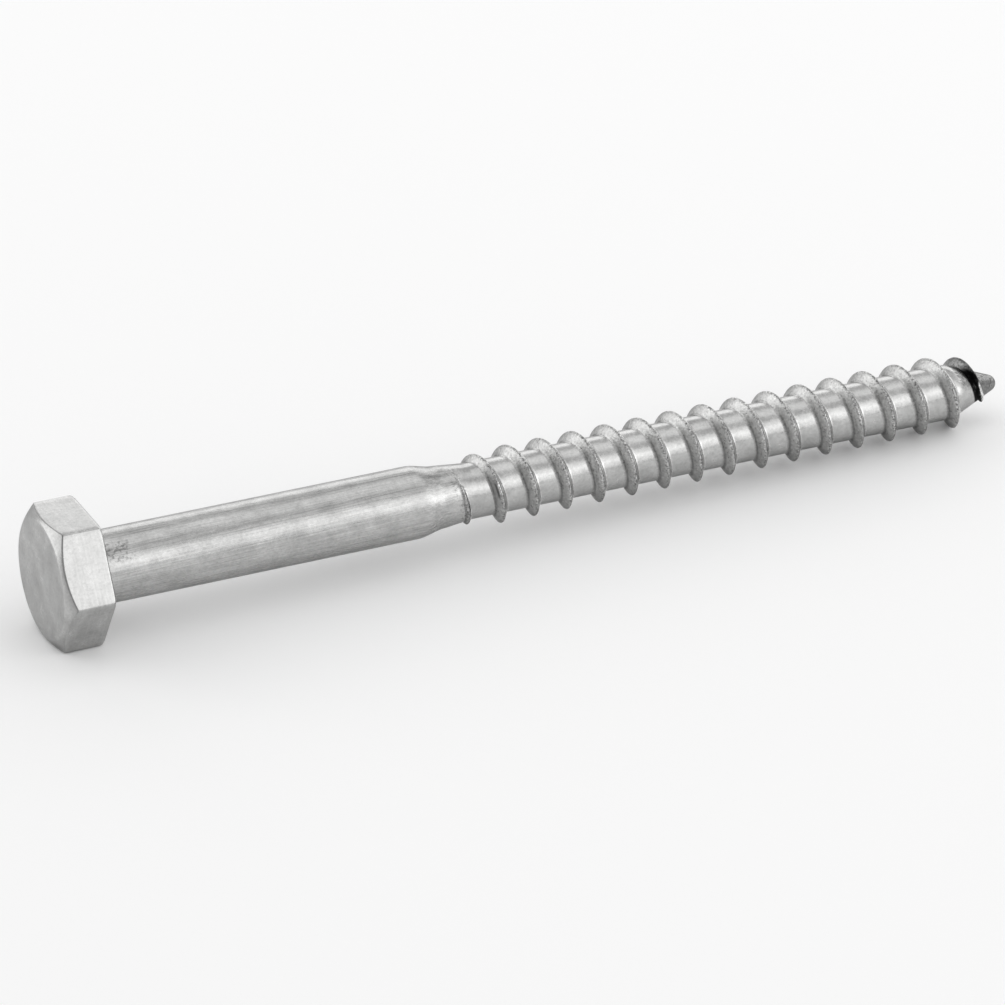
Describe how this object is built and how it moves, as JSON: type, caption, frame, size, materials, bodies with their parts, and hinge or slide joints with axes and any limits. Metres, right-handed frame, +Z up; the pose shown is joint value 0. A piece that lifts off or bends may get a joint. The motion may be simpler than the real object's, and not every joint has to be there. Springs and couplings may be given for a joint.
{
  "type": "lag screw",
  "caption": "Hexagon-head lag screw with a plain shank, a reduced neck, a coarse right-hand wood thread and a gimlet point, lying on its side.",
  "frame": {"origin": "the middle of the screw's bounding box, on the surface it lies on", "axes": "+X runs along the screw from the head to the point, which is tipped down by about 1.6 degrees as the screw lies; +Z is up; the head's lowest flat is underneath"},
  "size_m": [0.1366, 0.0196, 0.0172],
  "materials": {
    "steel": "satin, drawn and rolled steel with a dull grain"
  },
  "bodies": {
    "root": {"lag_screw": "steel"}
  },
  "joints": []
}
